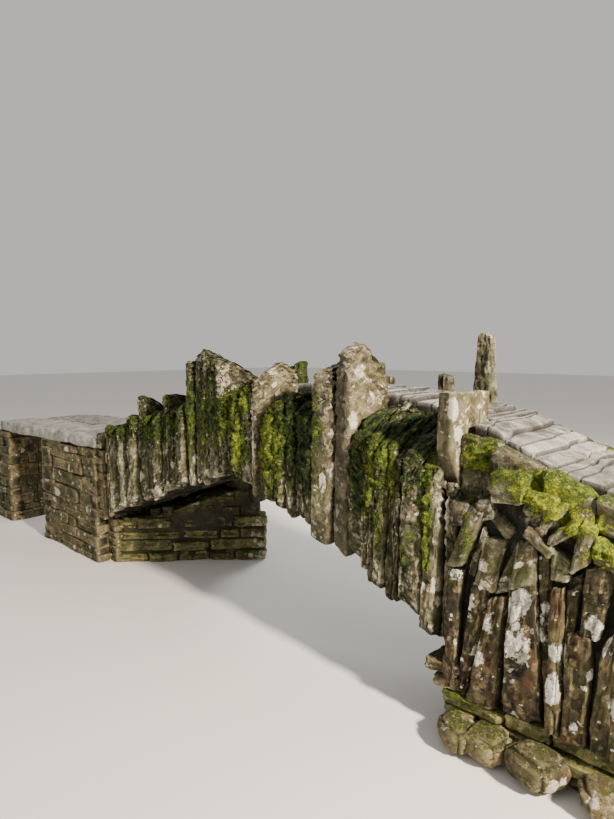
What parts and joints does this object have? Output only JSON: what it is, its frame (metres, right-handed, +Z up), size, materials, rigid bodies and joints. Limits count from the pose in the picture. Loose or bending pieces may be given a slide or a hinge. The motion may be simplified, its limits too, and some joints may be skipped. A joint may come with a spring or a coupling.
{
  "type": "packhorse bridge",
  "caption": "Small humpback packhorse bridge of slate slabs set on edge, with one low arch, a clapper span on the left and a paved path.",
  "frame": {"origin": "middle of the footprint at the water line, under the middle of the arch and of the width", "axes": "+X along the bridge towards the right bank as seen in the picture, +Y across it away from the viewer, +Z up"},
  "size_m": [11.1398, 1.9111, 2.7405],
  "materials": {
    "slate_slab": "rough",
    "pale_slab": "rough",
    "mossy_slab": "mossy",
    "worn_paving": "worn smooth",
    "rubble": "rough",
    "river_stone": "damp"
  },
  "bodies": {
    "root": {"clapper_end_pier": "rubble", "clapper_near_slab": "pale_slab", "clapper_far_slab": "pale_slab", "left_pier": "rubble", "left_plinth": "river_stone", "left_end_posts": "slate_slab", "left_haunch_near_slabs": "slate_slab", "west_pointed_slab": "slate_slab", "second_pointed_slab": "slate_slab", "tall_block_slabs": "slate_slab", "thin_edge_slab": "pale_slab", "crown_near_slabs": "mossy_slab", "pale_crown_slab": "pale_slab", "crown_right_slabs": "mossy_slab", "grey_crown_slab": "slate_slab", "great_slab": "slate_slab", "right_haunch_near_slabs": "slate_slab", "left_haunch_core_slabs": "slate_slab", "crown_core_slabs": "slate_slab", "right_haunch_core_slabs": "slate_slab", "left_haunch_far_slabs": "slate_slab", "crown_far_slabs": "slate_slab", "right_haunch_far_slabs": "slate_slab", "far_parapet_slabs": "slate_slab", "far_standing_stone": "slate_slab", "end_block_slab": "pale_slab", "deck_left_paving": "worn_paving", "deck_crown_paving": "worn_paving", "deck_right_paving": "worn_paving", "ramp_paving": "worn_paving", "right_springing_stones": "rubble", "wing_footing": "river_stone", "right_abutment_core": "rubble", "right_wing_near_slabs": "slate_slab", "right_wing_near_rubble": "mossy_slab", "right_wing_far_slabs": "slate_slab", "right_wing_far_rubble": "mossy_slab"}
  },
  "joints": []
}
